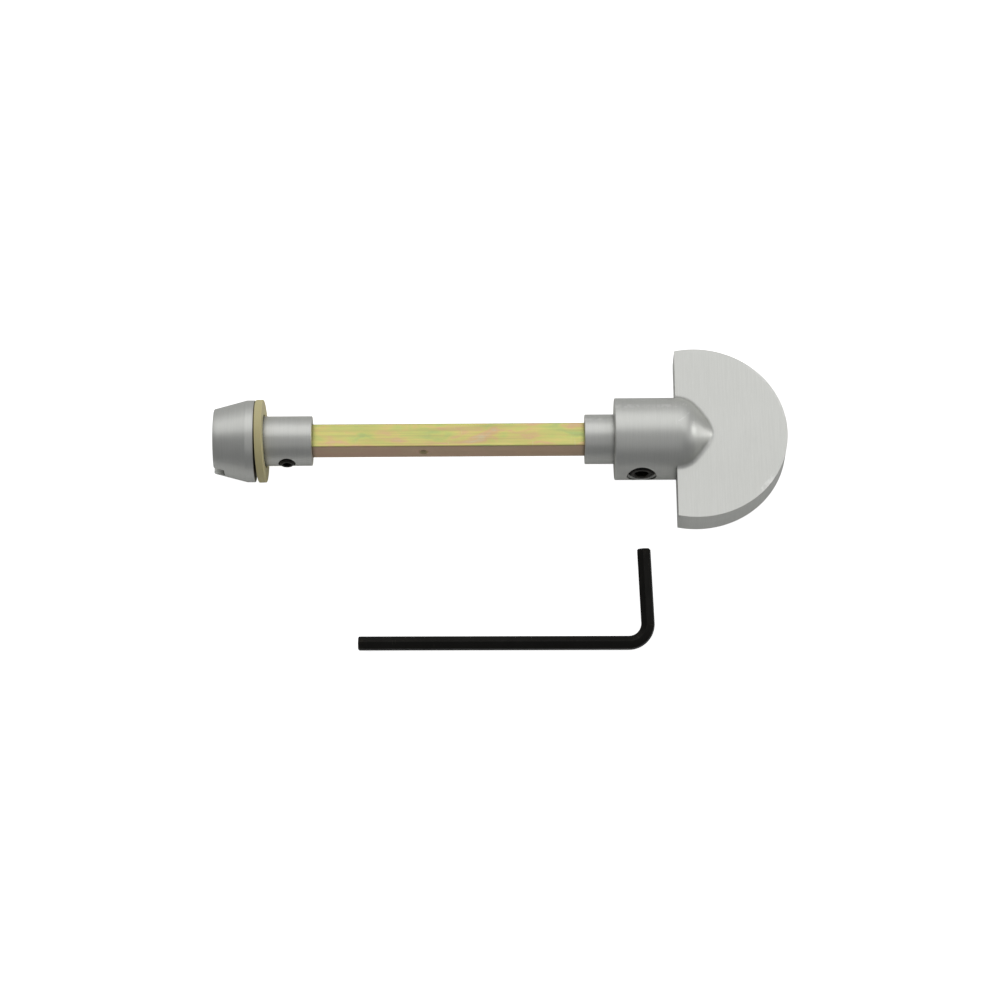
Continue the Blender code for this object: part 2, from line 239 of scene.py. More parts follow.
def effect(name, inputs, outputs):
    """An empty shader node group with float or vector inputs, and its input and output nodes."""
    group = bpy.data.node_groups.new(name, "ShaderNodeTree")
    for label, value in inputs.items():
        kind = "NodeSocketFloat" if value is not None else "NodeSocketVector"
        socket = group.interface.new_socket(label, in_out="INPUT", socket_type=kind)
        if value is not None:
            socket.default_value = value
    for label in outputs:
        group.interface.new_socket(label, in_out="OUTPUT", socket_type="NodeSocketFloat")
    entry = group.nodes.new("NodeGroupInput")
    result = group.nodes.new("NodeGroupOutput")
    return group, entry.outputs, result.inputs


def give(group, socket, value):
    group.links.new(value, socket)


def cut_lines():
    """Fine tool or drawing lines that run across the local X axis, in two widths."""
    inputs = {"Vector": None, "Spacing": 0.25, "Run": 14.0, "Fine": 0.5}
    group, given, result = effect("cut_lines", inputs, ("Lines", "Height"))
    across, along = per_metre(group, given["Spacing"]), per_metre(group, given["Run"])
    spans = {"X": across, "Y": along, "Z": along}
    frequency = add_node(group, "ShaderNodeCombineXYZ", spans).outputs[0]
    scaled = add_node(
        group, "ShaderNodeVectorMath", {0: given["Vector"], 1: frequency}, operation="MULTIPLY"
    ).outputs[0]
    broad = noise(group, scaled, 1.0, detail=1.0)
    narrow = noise(group, scaled, 4.7, detail=2.0, roughness=0.7)
    share = maths(group, "MULTIPLY", maths(group, "SUBTRACT", narrow, broad), given["Fine"])
    lines = maths(group, "ADD", broad, share)
    give(group, result["Lines"], ramp(group, lines, 0.28, 0.72))
    give(group, result["Height"], lines)
    return group


def handling_marks():
    """Hairline scratches in three directions, and soft smudges left by fingers."""
    inputs = {"Vector": None, "Size": 10.0, "Amount": 0.3}
    group, given, result = effect("handling_marks", inputs, ("Scratches", "Smudges"))
    place = sized(group, given["Vector"], given["Size"])
    found = None
    for turn, squeeze in ((0.4, (22, 0.7, 9)), (-0.9, (30, 0.9, 12)), (1.9, (26, 0.8, 7))):
        lying = stretched(group, place, squeeze, turn)
        thin = ramp(group, noise(group, lying, 1.0, detail=1.0, distortion=0.15), 0.71, 0.76)
        found = thin if found is None else maths(group, "MAXIMUM", found, thin)
    where = ramp(group, noise(group, place, 1.6), 0.45, 0.62)
    scratches = maths(group, "MULTIPLY", maths(group, "MULTIPLY", found, where), given["Amount"])
    give(group, result["Scratches"], scratches)
    give(group, result["Smudges"], ramp(group, noise(group, place, 0.9, detail=4.0), 0.35, 0.7))
    return group


def worn_edges():
    """A mask of rubbed outer edges, broken up by noise."""
    inputs = {"Vector": None, "Reach": 0.05, "Speck": 1.2}
    group, given, result = effect("worn_edges", inputs, ("Worn",))
    sharp = add_node(group, "ShaderNodeNewGeometry").outputs["Pointiness"]
    edge = ramp(group, sharp, 0.53, maths(group, "ADD", given["Reach"], 0.5))
    place = sized(group, given["Vector"], given["Speck"])
    patchy = ramp(group, noise(group, place, 1.0, detail=4.0), 0.4, 0.6)
    give(group, result["Worn"], maths(group, "MULTIPLY", edge, patchy))
    return group


def fine_grain():
    """Even, isotropic micro texture: anodising pores, oxide or moulded plastic."""
    group, given, result = effect("fine_grain", {"Vector": None, "Size": 0.1}, ("Grain", "Clouds"))
    place = sized(group, given["Vector"], given["Size"])
    give(group, result["Grain"], noise(group, place, 1.0, detail=3.0, roughness=0.6))
    give(group, result["Clouds"], noise(group, place, 0.03, detail=3.0))
    return group


def dull_recesses():
    """A mask of deep narrow places, found by ambient occlusion, where painted shade darkens the
    finish.
    """
    group, given, result = effect("dull_recesses", {"Vector": None, "Depth": 1.0 * MM}, ("Recess",))
    depth = {"Distance": given["Depth"]}
    open_sky = add_node(group, "ShaderNodeAmbientOcclusion", depth, samples=4, only_local=False)
    # painted shade: the less open sky a place sees, the darker it is painted
    deep = ramp(group, open_sky.outputs["AO"], 0.82, 0.48)
    speck = ramp(group, noise(group, given["Vector"], 900.0), 0.3, 0.6, 0.85, 1.0)
    give(group, result["Recess"], maths(group, "MULTIPLY", deep, speck))
    return group


CUT_LINES = cut_lines()
PAINTED_RECESS_SHADE = dull_recesses()
HANDLING_MARKS = handling_marks()
WORN_EDGES = worn_edges()
FINE_GRAIN = fine_grain()


def start_finish(name, metallic):
    """A material with its Principled shader and its object coordinates."""
    material = bpy.data.materials.new(name)
    material.use_nodes = True
    tree = material.node_tree
    shader = tree.nodes["Principled BSDF"]
    shader.inputs["Metallic"].default_value = metallic
    where = add_node(tree, "ShaderNodeTexCoord").outputs["Object"]
    return material, tree, shader, where


def use(tree, group, where, **values):
    """A shared effect placed in this material with its own values."""
    node = add_node(tree, "ShaderNodeGroup", node_tree=group)
    tree.links.new(where, node.inputs["Vector"])
    for name, value in values.items():
        node.inputs[name].default_value = value
    return node.outputs


def total(tree, *terms):
    """The sum of value times weight over the terms."""
    result = None
    for value, weight in terms:
        part = maths(tree, "MULTIPLY", value, weight)
        result = part if result is None else maths(tree, "ADD", result, part)
    return result


def tinted(tree, colour, mask, weight, tint):
    """The colour, moved towards the tint by the mask times the weight."""
    return mix_colours(tree, maths(tree, "MULTIPLY", mask, weight), colour, tint)


def wire_surface(tree, shader, colour, roughness, height, depth):
    """Links colour, roughness and bump height, whose full range is this deep, to the shader."""
    tree.links.new(colour, shader.inputs["Base Color"])
    tree.links.new(roughness, shader.inputs["Roughness"])
    bump = add_node(tree, "ShaderNodeBump", {"Height": height, "Strength": 1.0, "Distance": depth})
    tree.links.new(bump.outputs["Normal"], shader.inputs["Normal"])


def satin_aluminium():
    """Anodised aluminium with faint tool lines across the spindle's direction."""
    material, tree, shader, where = start_finish("satin_aluminium", 1.0)
    lines = use(tree, CUT_LINES, where, Spacing=0.22, Run=9.0, Fine=0.55)
    pores = use(tree, FINE_GRAIN, where, Size=0.09)
    marks = use(tree, HANDLING_MARKS, where, Size=9.0, Amount=0.35)
    worn = use(tree, WORN_EDGES, where, Reach=0.09, Speck=0.8)
    recess_shade = use(tree, PAINTED_RECESS_SHADE, where)
    shade = total(tree, (lines["Lines"], 0.6), (pores["Clouds"], 0.15), (pores["Grain"], 0.25))
    colour = mix_colours(tree, shade, (0.60, 0.605, 0.575, 1), (0.72, 0.725, 0.695, 1))
    colour = mix_colours(tree, marks["Scratches"], colour, (0.78, 0.78, 0.76, 1))
    colour = tinted(tree, colour, worn["Worn"], 0.5, (0.86, 0.86, 0.84, 1))
    # painted shade: near black in the recesses, following the occlusion mask
    colour = mix_colours(tree, recess_shade["Recess"], colour, (0.05, 0.05, 0.045, 1))
    change = total(tree, (lines["Lines"], 0.05), (marks["Smudges"], 0.02), (pores["Grain"], 0.04))
    height = total(tree, (lines["Height"], 0.7), (pores["Grain"], 0.3), (marks["Scratches"], -0.4))
    wire_surface(tree, shader, colour, maths(tree, "ADD", change, 0.36), height, 0.005 * MM)
    return material


def passivation_film(tree, drift):
    """The film's colours, from green through yellow to salmon, as the drift rises."""
    film = add_node(tree, "ShaderNodeValToRGB", {"Fac": drift})
    colours = (
        (0.34, (0.48, 0.58, 0.22, 1)),
        (0.43, (0.60, 0.63, 0.21, 1)),
        (0.52, (0.69, 0.61, 0.22, 1)),
        (0.60, (0.73, 0.50, 0.27, 1)),
        (0.70, (0.68, 0.58, 0.36, 1)),
    )
    stops = film.color_ramp.elements
    while len(stops) < len(colours):
        stops.new(0.5)
    for stop, (place, value) in zip(stops, colours):
        stop.position = place
        stop.color = value
    return film.outputs["Color"]


def yellow_zinc():
    """Yellow-passivated zinc in drifting patches, with a painted sheen: the film's browner
    grazing-angle colour, fixed on the face toward the screws.
    """
    material, tree, shader, where = start_finish("yellow_zinc", 1.0)
    marks = use(tree, HANDLING_MARKS, where, Size=7.0, Amount=0.2)
    grain = use(tree, FINE_GRAIN, where, Size=0.16)
    worn = use(tree, WORN_EDGES, where, Reach=0.10, Speck=1.0)
    recess_shade = use(tree, PAINTED_RECESS_SHADE, where)
    broad = noise(tree, stretched(tree, where, (130, 380, 380)), 1.0, detail=4.0, distortion=0.8)
    fine = noise(tree, stretched(tree, where, (420, 1500, 1500)), 1.0, detail=3.0)
    streak = noise(tree, stretched(tree, where, (60, 2400, 2400)), 1.0, detail=2.0)
    facing = add_node(tree, "ShaderNodeTexCoord").outputs["Normal"]
    toward_screw = add_node(
        tree, "ShaderNodeVectorMath", {0: facing, 1: SCREW_AXIS}, operation="DOT_PRODUCT"
    ).outputs["Value"]
    colour = passivation_film(tree, total(tree, (broad, 0.8), (fine, 0.2)))
    dusk = ramp(tree, streak, 0.35, 0.7, 0.0, 0.35)
    colour = mix_colours(tree, dusk, colour, (0.42, 0.36, 0.20, 1))
    # painted sheen: the film's browner look at a grazing angle, given to the face toward the screws
    screw_side_sheen = ramp(tree, toward_screw, 0.55, 0.8, 0.0, 0.85)
    colour = mix_colours(tree, screw_side_sheen, colour, (0.64, 0.44, 0.34, 1))
    colour = mix_colours(tree, marks["Scratches"], colour, (0.74, 0.72, 0.62, 1))
    colour = tinted(tree, colour, worn["Worn"], 0.6, (0.74, 0.72, 0.58, 1))
    # painted shade: near black in the recesses, following the occlusion mask
    colour = mix_colours(tree, recess_shade["Recess"], colour, (0.06, 0.055, 0.035, 1))
    change = total(tree, (streak, 0.10), (marks["Smudges"], 0.10), (grain["Grain"], 0.06))
    height = total(tree, (streak, 0.5), (grain["Grain"], 0.35), (marks["Scratches"], -0.5))
    wire_surface(tree, shader, colour, maths(tree, "ADD", change, 0.24), height, 0.010 * MM)
    return material


def black_oxide(name, tint, roughness, rub):
    """Blackened steel, lightly oiled, with brown-grey metal where it is rubbed."""
    material, tree, shader, where = start_finish(name, 1.0)
    grain = use(tree, FINE_GRAIN, where, Size=0.12)
    marks = use(tree, HANDLING_MARKS, where, Size=6.0, Amount=0.6)
    worn = use(tree, WORN_EDGES, where, Reach=0.10, Speck=0.7)
    dark = tuple(0.62 * part for part in tint) + (1,)
    light = tuple(1.5 * part for part in tint) + (1,)
    shade = total(tree, (grain["Grain"], 0.5), (grain["Clouds"], 0.5))
    colour = mix_colours(tree, shade, dark, light)
    colour = tinted(tree, colour, marks["Scratches"], 0.35, (0.11, 0.10, 0.085, 1))
    colour = tinted(tree, colour, worn["Worn"], rub, (0.16, 0.14, 0.11, 1))
    change = total(tree, (grain["Grain"], 0.10), (marks["Smudges"], 0.10))
    height = total(tree, (grain["Grain"], 0.7), (marks["Scratches"], -0.4))
    wire_surface(tree, shader, colour, maths(tree, "ADD", change, roughness), height, 0.012 * MM)
    return material


def beige_nylon():
    """Moulded nylon: a little translucent, faintly mottled, with a fine matt skin."""
    material, tree, shader, where = start_finish("beige_nylon", 0.0)
    shader.inputs["Subsurface Weight"].default_value = 0.15
    shader.inputs["Subsurface Radius"].default_value = (0.0012, 0.0009, 0.0005)
    shader.inputs["Subsurface Scale"].default_value = 0.5
    grain = use(tree, FINE_GRAIN, where, Size=0.14)
    marks = use(tree, HANDLING_MARKS, where, Size=5.0, Amount=0.4)
    shade = total(tree, (grain["Clouds"], 0.7), (grain["Grain"], 0.3))
    colour = mix_colours(tree, shade, (0.62, 0.545, 0.26, 1), (0.72, 0.655, 0.37, 1))
    colour = mix_colours(tree, marks["Scratches"], colour, (0.74, 0.70, 0.56, 1))
    change = total(tree, (marks["Smudges"], 0.12), (grain["Grain"], 0.1))
    height = total(tree, (grain["Grain"], 0.8), (marks["Scratches"], -0.3))
    wire_surface(tree, shader, colour, maths(tree, "ADD", change, 0.40), height, 0.012 * MM)
    return material


# ---------------------------------------------------------------- shapes


def turned_rings(profile, angles):
    """Points and faces of a solid turned about X from (x, radius) points, closed at radius 0."""
    points, faces, rings = [], [], []
    count = len(angles)
    for x, radius in profile:
        if radius == 0:
            rings.append([len(points)])
            points.append(Vector((x, 0, 0)))
        else:
            rings.append(list(range(len(points), len(points) + count)))
            points += [Vector((x, radius * math.sin(a), radius * math.cos(a))) for a in angles]
    for first, second in zip(rings, rings[1:]):
        for i in range(count):
            j = (i + 1) % count
            if len(first) == 1:
                faces.append([first[0], second[i], second[j]])
            elif len(second) == 1:
                faces.append([first[i], second[0], first[j]])
            else:
                faces.append([first[i], second[i], second[j], first[j]])
    return points, faces


def tube_faces(rows, count):
    """Faces of a closed tube made of rows of points, this many to a row, with both ends capped."""
    faces = []
    for low in range(0, (rows - 1) * count, count):
        high = low + count
        for i in range(count):
            j = (i + 1) % count
            faces.append([low + i, high + i, high + j, low + j])
    faces.append(list(range(count)))
    faces.append(list(range((rows - 1) * count, rows * count)))
    return faces


def even_angles(steps=ROUND_STEPS):
    """Angles all round a turned piece."""
    return [2 * math.pi * i / steps for i in range(steps)]


def softened(corners, steps=3):
    """A profile of (x, radius, rounding) corners with each rounded corner drawn as an arc."""
    drawn = []
    for i, (x, r, rounding) in enumerate(corners):
        here = Vector((x, r))
        if not rounding:
            drawn.append((x, r))
            continue
        back = (Vector(corners[i - 1][:2]) - here).normalized()
        ahead = (Vector(corners[(i + 1) % len(corners)][:2]) - here).normalized()
        half = back.angle(ahead) / 2
        middle = here + (back + ahead).normalized() * rounding / math.sin(half)
        start = here + back * rounding / math.tan(half) - middle
        end = here + ahead * rounding / math.tan(half) - middle
        for step in range(steps + 1):
            point = middle + start.normalized().slerp(end.normalized(), step / steps) * rounding
            drawn.append((point.x, point.y))
    return drawn


def spaced(start, end, pitch):
    """Places between start and end, ends left out, no further apart than the pitch."""
    count = max(1, math.ceil(abs(end - start) / pitch))
    return [start + (end - start) * i / count for i in range(1, count)]


def sound_mesh(name, points, faces, weld=0.0015 * MM):
    """A closed mesh with its seams welded and its faces pointing out."""
    mesh = bpy.data.meshes.new(name)
    shape = bmesh.new()
    corners = [shape.verts.new(point) for point in points]
    for face in faces:
        shape.faces.new([corners[i] for i in face])
    bmesh.ops.remove_doubles(shape, verts=shape.verts, dist=weld)
    bmesh.ops.recalc_face_normals(shape, faces=shape.faces)
    shape.to_mesh(mesh)
    shape.free()
    return mesh


def new_object(name, mesh, place):
    """An object of this mesh, put in its place."""
    obj = bpy.data.objects.new(name, mesh)
    bpy.context.scene.collection.objects.link(obj)
    obj.matrix_world = place
    return obj


def cone_cutter(profile, place):
    """A cutter turned about local X from (x, radius) points."""
    mesh = sound_mesh("cutter", *turned_rings(profile, even_angles(CONE_STEPS)))
    return new_object("cutter", mesh, place)


def carve(obj, *cutters):
    """Cuts each cutter out of the piece in turn, and removes the cutter."""
    for cutter in cutters:
        cut = obj.modifiers.new("Cut", "BOOLEAN")
        cut.operation = "DIFFERENCE"
        cut.solver = "EXACT"
        cut.object = cutter
        graph = bpy.context.evaluated_depsgraph_get()
        made = bpy.data.meshes.new_from_object(obj.evaluated_get(graph))
        obj.modifiers.clear()
        obj.data = made
        bpy.data.objects.remove(cutter, do_unlink=True)


def bore_cutter(start, end):
    """The cutter of a square bore along the spindle's axis, between these two places."""
    half = BORE_SIDE / 2
    low, high = (start, -half, -half), (end, half, half)
    shape = bmesh.new()
    bmesh.ops.create_cube(shape, size=1)
    for vertex in shape.verts:
        vertex.co = [low[i] if vertex.co[i] < 0 else high[i] for i in range(3)]
    mesh = bpy.data.meshes.new("cutter")
    shape.to_mesh(mesh)
    shape.free()
    return new_object("cutter", mesh, LEANING)


def finish_piece(obj, name, material, body, node, sharp=35):
    """Names the piece, shades it, gives it its finish and puts it on its body for its CAD node."""
    obj.name = name
    obj.data.name = name
    obj.data.transform(obj.matrix_world)
    obj.matrix_world = Matrix.Identity(4)
    obj.data.materials.clear()
    obj.data.materials.append(material)
    for polygon in obj.data.polygons:
        polygon.use_smooth = True
        polygon.material_index = 0
    obj.data.set_sharp_from_angle(angle=math.radians(sharp))
    weigh = obj.modifiers.new("Even normals", "WEIGHTED_NORMAL")
    weigh.keep_sharp = True
    weigh.mode = "FACE_AREA_WITH_ANGLE"
    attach(obj, body)
    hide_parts(node)
    return obj


# ---------------------------------------------------------------- grub screws and their holes


def toward_screws(x):
    """The place of a screw: local X outward along the screw's axis, from the spindle's middle."""
    turn = Matrix(((0, 0, 1), (-1, 0, 0), (0, -1, 0))).to_4x4()
    return LEANING @ Matrix.Translation((x, 0, 0)) @ turn


def thread_depth(turns):
    """How deep a 60 degree thread is this many turns along: 0 on its crest, 1 in its root."""
    crest, root = 1 / 16, 7 / 16
    away = abs((turns % 1) - 0.5)
    return min(1.0, max(0.0, (0.5 - crest - away) / (root - crest)))


def threaded(heights, radius_at):
    """Points and faces of a solid along X with its radius set by height and share of a turn."""
    points = []
    for height in heights:
        for i in range(THREAD_STEPS):
            angle = math.tau * i / THREAD_STEPS
            r = radius_at(height, i / THREAD_STEPS)
            points.append(Vector((height, r * math.sin(angle), r * math.cos(angle))))
    return points, tube_faces(len(heights), THREAD_STEPS)


def hex_cutters(across, low, top, place):
    """A hex socket's cutters along local X: the hexagon, and the cone that leads into it."""
    corner = across / math.sqrt(3)
    points = [
        Vector((x, corner * math.sin(math.pi * i / 3), corner * math.cos(math.pi * i / 3)))
        for x in (low, top + SOCKET_CLEAR)
        for i in range(6)
    ]
    hexagon = new_object("cutter", sound_mesh("cutter", points, tube_faces(2, 6)), place)
    lead = corner * SOCKET_LEAD
    return hexagon, cone_cutter([(top - lead, 0), (top + lead, 2 * lead), (top + lead, 0)], place)


def grub_screw(name, x, size, material):
    """A cup-point grub screw with its thread, hex socket and chamfered ends."""
    radius, length, pitch = size["radius"], size["length"], size["pitch"]
    depth = THREAD_DEPTH * pitch
    point = radius / 2
    top = SCREW_TIP + length

    def radius_at(height, share):
        tapered = min(point + height - SCREW_TIP, radius - depth + top - height)
        return min(tapered, radius - depth * thread_depth(height / pitch - share))

    rows = math.ceil(length * THREAD_ROWS / pitch)
    heights = [SCREW_TIP + length * i / rows for i in range(rows + 1)]
    place = toward_screws(x)
    screw = new_object(name, sound_mesh(name, *threaded(heights, radius_at)), place)
    below = SCREW_TIP - point
    cup = [(below, 0), (below, point * CUP_MOUTH), (SCREW_TIP + point * CUP_DEPTH, 0)]
    socket = hex_cutters(size["hex"], top - size["socket"], top, place)
    carve(screw, cone_cutter(cup, place), *socket)
    return finish_piece(screw, name + "_threaded", material, name, name, sharp=24)


def screw_hole(x, size, surface):
    """The cutter of a tapped hole with a chamfered mouth; its shallow thread clears the screw."""
    radius = size["radius"] + SCREW_PLAY
    mouth = radius + size["mouth"]
    brim = math.sqrt(surface**2 - mouth**2)
    bottom = brim - size["mouth"]

    def radius_at(height, share):
        if height > brim:
            return mouth
        wall = max(radius, mouth - (brim - height))
        ridge = 1 - thread_depth(height / size["pitch"] - share)
        return wall - HOLE_THREAD * ridge if height < bottom else wall

    heights = [0.0] + spaced(0.0, bottom, size["pitch"] / HOLE_ROWS)
    heights += [bottom, brim, surface + CUTTER_CLEAR]
    mesh = sound_mesh("cutter", *threaded(heights, radius_at))
    return new_object("cutter", mesh, toward_screws(x))


# ---------------------------------------------------------------- thumb turn


def nose_radius(past):
    """The nose's radius about the spindle's axis, this far past the flat edge."""
    rounded = NOSE_ROUNDING * math.sin(NOSE_TAPER)
    if past < rounded:
        return HUB_RADIUS - NOSE_ROUNDING + math.sqrt(NOSE_ROUNDING**2 - past**2)
    cone_start = HUB_RADIUS - NOSE_ROUNDING * (1 - math.cos(NOSE_TAPER))
    return cone_start - (past - rounded) * math.tan(NOSE_TAPER)


def nose_height(reach, heading):
    """The nose's height over the plate's middle, this far from its top in this direction."""
    side = reach * math.sin(heading)
    return math.sqrt(max(0.0, nose_radius(reach * math.cos(heading)) ** 2 - side**2))


def nose_lean(reach, heading):
    """How far the nose's surface falls away here, as an angle."""
    step = 0.0005 * MM
    drop = nose_height(reach - step, heading) - nose_height(reach + step, heading)
    return math.atan2(drop, 2 * step)


def where_zero(value, low, high):
    """The place between low and high where a falling value passes zero."""
    for _ in range(48):
        middle = (low + high) / 2
        if value(middle) > 0:
            low = middle
        else:
            high = middle
    return (low + high) / 2


def nose_tilt():
    """The angle round the hub, from the plate's normal, where its side meets the fillet."""
    reach = math.sqrt((HUB_RADIUS + NOSE_FILLET) ** 2 - (PLATE_HALF + NOSE_FILLET) ** 2)
    return math.atan2(reach, PLATE_HALF + NOSE_FILLET)


def nose_section(heading):
    """(reach, height) from the nose's top down to the plate in one direction, with its fillet."""

    def above_plate(reach):
        return nose_height(reach, heading) - PLATE_HALF

    def above_fillet(reach):
        lift = NOSE_FILLET * (1 - math.cos(nose_lean(reach, heading)))
        return above_plate(reach) - lift

    foot = where_zero(above_plate, 0, HUB_RADIUS - 0.001 * MM)
    touch = where_zero(above_fillet, 0, foot)
    lean, tilt = nose_lean(touch, heading), nose_tilt()
    section = []
    for i in range(NOSE_STEPS + 1):
        reach = touch * math.sin(tilt * i / NOSE_STEPS) / math.sin(tilt)
        section.append((reach, nose_height(reach, heading)))
    foot_of_fillet = touch + NOSE_FILLET * math.sin(lean)
    for i in range(1, FILLET_STEPS + 1):
        angle = lean * (1 - i / FILLET_STEPS)
        height = PLATE_HALF + NOSE_FILLET * (1 - math.cos(angle))
        section.append((foot_of_fillet - NOSE_FILLET * math.sin(angle), height))
    return section


def side_angles(tilt):
    """Angles down the hub's side, from the nose on one face to the nose on the other."""
    return [tilt + (math.pi - 2 * tilt) * i / HUB_SIDE_STEPS for i in range(HUB_SIDE_STEPS + 1)]


def hub_angles(tilt):
    """Angles round the hub that meet the nose's own points where the two join."""
    top = [tilt * i / NOSE_STEPS for i in range(-NOSE_STEPS, NOSE_STEPS)]
    half = top + side_angles(tilt)[:-1]
    return half + [angle + math.pi for angle in half]


def plate_outline():
    """(x, y) round the half-moon's arc, from its front corner to its back corner."""
    reach = math.pi - math.acos(PLATE_ARC_OFFSET / PLATE_RADIUS)
    middle = PLATE_X + PLATE_ARC_OFFSET
    angles = [reach * (2 * i / ARC_STEPS - 1) for i in range(ARC_STEPS + 1)]
    return [(middle + PLATE_RADIUS * math.cos(a), PLATE_RADIUS * math.sin(a)) for a in angles]


def plate_face(sections, turns, outline, side, base):
    """Points and faces of one face of the half-moon, numbered from base, and its rim's points."""
    points = [Vector((PLATE_X, 0, side * HUB_RADIUS))]
    for row in list(zip(*sections))[1:]:
        for turn, (r, z) in zip(turns, row):
            points.append(Vector((PLATE_X + r * math.cos(turn), r * math.sin(turn), side * z)))
    width = len(turns)
    rows = len(sections[0]) - 1
    first = base + 1
    faces = [[base, first + j, first + j + 1] for j in range(width - 1)]
    for low in range(first, first + (rows - 1) * width, width):
        high = low + width
        faces += [[low + j, high + j, high + j + 1, low + j + 1] for j in range(width - 1)]
    last_row = first + (rows - 1) * width
    foot = list(range(last_row, last_row + width))
    rim = list(range(base + len(points), base + len(points) + len(outline)))
    border = [i + len(outline) for i in rim]
    points += [Vector((x, y, side * PLATE_HALF)) for x, y in outline]
    middle = PLATE_X + PLATE_RADIUS / 2
    points += [
        Vector((middle + (x - middle) * PLATE_INSET, y * PLATE_INSET, side * PLATE_HALF))
        for x, y in outline
    ]
    for k in range(len(outline) - 1):
        faces.append([rim[k], rim[k + 1], border[k + 1], border[k]])
    faces.append(foot + [rim[-1]] + border[::-1] + [rim[0]])
    return points, faces, rim


def nose_and_plate(tilt):
    """The half-moon with its rounded nose on both faces, open where the hub meets it."""
    turns = [math.pi * (j / NOSE_COLUMNS - 0.5) for j in range(NOSE_COLUMNS + 1)]
    sections = [nose_section(turn) for turn in turns]
    outline = plate_outline()
    points, faces, top_rim = plate_face(sections, turns, outline, 1, 0)
    more_points, more_faces, rim = plate_face(sections, turns, outline, -1, len(points))
    points += more_points
    faces += more_faces
    for k in range(len(outline) - 1):
        faces.append([top_rim[k], rim[k], rim[k + 1], top_rim[k + 1]])
    fillet = sections[-1][NOSE_STEPS + 1 :]
    hub_side = [(HUB_RADIUS * math.sin(a), HUB_RADIUS * math.cos(a)) for a in side_angles(tilt)]
    corner = abs(outline[0][1])
    loop = hub_side[:1] + fillet + [(corner, PLATE_HALF), (corner, -PLATE_HALF)]
    loop += [(y, -z) for y, z in reversed(fillet)] + hub_side[:0:-1]
    for way in (1, -1):
        faces.append(list(range(len(points), len(points) + len(loop))))
        points += [Vector((PLATE_X, way * y, z)) for y, z in loop]
    return points, faces


def break_plate_edges(mesh):
    """Rounds the half-moon's outer edges: the rim on both faces, the flat edge and its corners."""
    shape = bmesh.new()
    shape.from_mesh(mesh)
    near = 0.001 * MM

    def on_rim(vertex):
        away = math.hypot(vertex.co.x - PLATE_X - PLATE_ARC_OFFSET, vertex.co.y)
        return abs(away - PLATE_RADIUS) < near and abs(abs(vertex.co.z) - PLATE_HALF) < near

    def on_flat_edge(vertex):
        beside_hub = abs(vertex.co.x - PLATE_X) < near and abs(vertex.co.y) > HUB_RADIUS - near
        return beside_hub and abs(abs(vertex.co.z) - PLATE_HALF) < near

    def rise(edge):
        return abs(edge.verts[0].co.z - edge.verts[1].co.z)

    chosen = [
        edge
        for edge in shape.edges
        if rise(edge) < near and all(on_rim(vertex) for vertex in edge.verts)
        or all(on_flat_edge(vertex) for vertex in edge.verts)
    ]
    bmesh.ops.bevel(
        shape,
        geom=chosen,
        offset=PLATE_EDGE,
        segments=3,
        profile=0.5,
        affect="EDGES",
        clamp_overlap=True,
    )
    across_rim = [
        edge
        for edge in shape.edges
        if rise(edge) > PLATE_HALF and all(vertex.co.x > PLATE_X - near for vertex in edge.verts)
    ]
    bmesh.ops.subdivide_edges(shape, edges=across_rim, cuts=RIM_ROWS)
    bmesh.ops.recalc_face_normals(shape, faces=shape.faces)
    shape.to_mesh(mesh)
    shape.free()


def thumb_turn(material):
    """The neck, the hub and the half-moon, with the square bore and the large tapped hole."""
    tilt = nose_tilt()
    low = TURN_LOW.x
    turned = [(low, 0)]
    turned += softened(
        [
            (low, 0, 0),
            (low, TURN_NECK_RADIUS, NECK_EDGE),
            (SHOULDER_X, TURN_NECK_RADIUS, NECK_ROOT),
            (SHOULDER_X, HUB_RADIUS, HUB_EDGE),
            (PLATE_X, HUB_RADIUS, 0),
        ]
    )[1:-1]
    turned += [(x, HUB_RADIUS) for x in spaced(SHOULDER_X + HUB_EDGE, PLATE_X, RING_PITCH)]
    turned.append((PLATE_X, HUB_RADIUS))
    points, faces = turned_rings(turned, hub_angles(tilt))
    more_points, more_faces = nose_and_plate(tilt)
    faces += [[i + len(points) for i in face] for face in more_faces]
    mesh = sound_mesh("thumb_turn", points + more_points, faces)
    break_plate_edges(mesh)
    turn = new_object("thumb_turn", mesh, LEANING)
    bore = bore_cutter(low - CUTTER_CLEAR, low + TURN_BORE_DEPTH)
    carve(turn, bore, screw_hole(TURN_SCREW_X, TURN_SCREW, HUB_RADIUS))
    return finish_piece(
        turn, "half_moon_turn", material, "thumb_turn", "thumb_turn"
    )


# ---------------------------------------------------------------- release knob


def slot_cutter():
    """The coin slot's cutter, a little wider where it leaves the end face."""
    front = KNOB_LOW.x
    half = COIN_SLOT_WIDTH / 2
    wide = half + COIN_SLOT_FLARE
    section = [
        (front + COIN_SLOT_DEPTH, half),
        (front + COIN_SLOT_FLARE, half),
        (front, wide),
        (front - CUTTER_CLEAR, wide),
    ]
    section += [(x, -z) for x, z in reversed(section)]
    reach = HEAD_BACK_RADIUS + CUTTER_CLEAR
    points = [Vector((x, y, z)) for y in (-reach, reach) for x, z in section]
    return new_object("cutter", sound_mesh("cutter", points, tube_faces(2, len(section))), LEANING)


